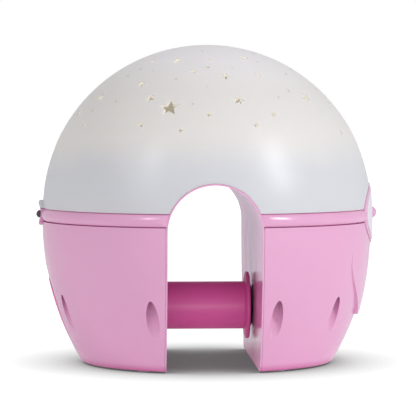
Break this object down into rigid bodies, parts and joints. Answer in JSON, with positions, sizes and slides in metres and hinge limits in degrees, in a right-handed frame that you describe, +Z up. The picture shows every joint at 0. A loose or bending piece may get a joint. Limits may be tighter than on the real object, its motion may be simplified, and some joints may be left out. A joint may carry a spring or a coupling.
{
  "type": "star night light projector",
  "caption": "Globe-shaped star projector night light that straddles a cot rail: star-pierced white dome, two pink legs and a sprung clamp across the slot.",
  "frame": {"origin": "on the surface the light stands on, under the middle of the globe", "axes": "+X towards the front with the push button, +Y along the slot that takes the rail, +Z up"},
  "size_m": [0.1705, 0.1614, 0.1584],
  "materials": {
    "dome_white": "satin translucent white",
    "body_pink": "glossy moulded pink",
    "clamp_magenta": "glossy moulded magenta",
    "pale_plate": "glossy off-white",
    "knob_grey": "matte dark grey",
    "pad_black": "matte rubber",
    "foot_rubber": "matte rubber",
    "steel": "plated steel",
    "guide_grey": "matte acetal",
    "circuit_green": "coated circuit board",
    "switch_black": "moulded black",
    "cell_wrap": "printed-free shrink wrap",
    "nickel": "nickel plated",
    "lamp_clear": "clear epoxy",
    "reflector_white": "warm white",
    "speaker_black": "doped paper"
  },
  "bodies": {
    "housing": {"star_dome": "dome_white", "saddle_frame": "body_pink", "rear_leg_shell": "body_pink", "front_leg_shell": "body_pink", "rear_feet": "foot_rubber", "front_feet": "foot_rubber", "housing_screws_rear": "steel", "housing_screws_front": "steel", "front_panel": "body_pink", "panel_window": "pale_plate", "button_board": "circuit_green", "button_switch": "switch_black", "switch_plate": "body_pink", "mode_switch_body": "switch_black", "switch_board": "circuit_green", "switch_screws": "steel", "clamp_sleeve": "guide_grey", "sleeve_screws": "steel", "sleeve_cap": "guide_grey", "clamp_spring": "steel", "battery_box": "guide_grey", "box_screws": "steel", "battery_cells": "cell_wrap", "battery_contacts": "nickel", "speaker_basket": "steel", "speaker_cone": "speaker_black", "speaker_magnet": "steel", "speaker_screws": "steel", "main_board": "circuit_green", "board_chips": "switch_black", "led_board": "circuit_green", "leds": "lamp_clear", "board_screws": "steel", "reflector_tray": "reflector_white", "tray_screws": "steel"},
    "clamp": {"clamp_tube": "clamp_magenta", "clamp_foot": "clamp_magenta", "clamp_cushion": "pad_black", "rod_screw": "steel", "pull_rod": "steel", "pull_grip": "clamp_magenta"},
    "button": {"power_button": "body_pink"},
    "mode_knob": {"mode_switch_knob": "knob_grey"},
    "cell_door": {"battery_door": "body_pink", "door_contacts": "nickel", "battery_door_screws": "steel"}
  },
  "joints": [
    {"name": "clamp_slide", "type": "slide", "parent": "housing", "child": "clamp", "axis": [-1, 0, 0], "range_m": [0, 0.03], "stiffness_N_per_m": 250, "springref_m": -0.012, "deforming": ["clamp_spring"]},
    {"name": "button_press", "type": "slide", "parent": "housing", "child": "button", "axis": [-1, 0, 0], "range_m": [0, 0.0008], "stiffness_N_per_m": 1200, "springref_m": -0.0004},
    {"name": "mode_slide", "type": "slide", "parent": "housing", "child": "mode_knob", "axis": [0, 1, 0], "range_m": [-0.003, 0.003]},
    {"name": "cell_door_lift", "type": "slide", "parent": "housing", "child": "cell_door", "axis": [0, 0, -1], "range_m": [0, 0.02]}
  ]
}
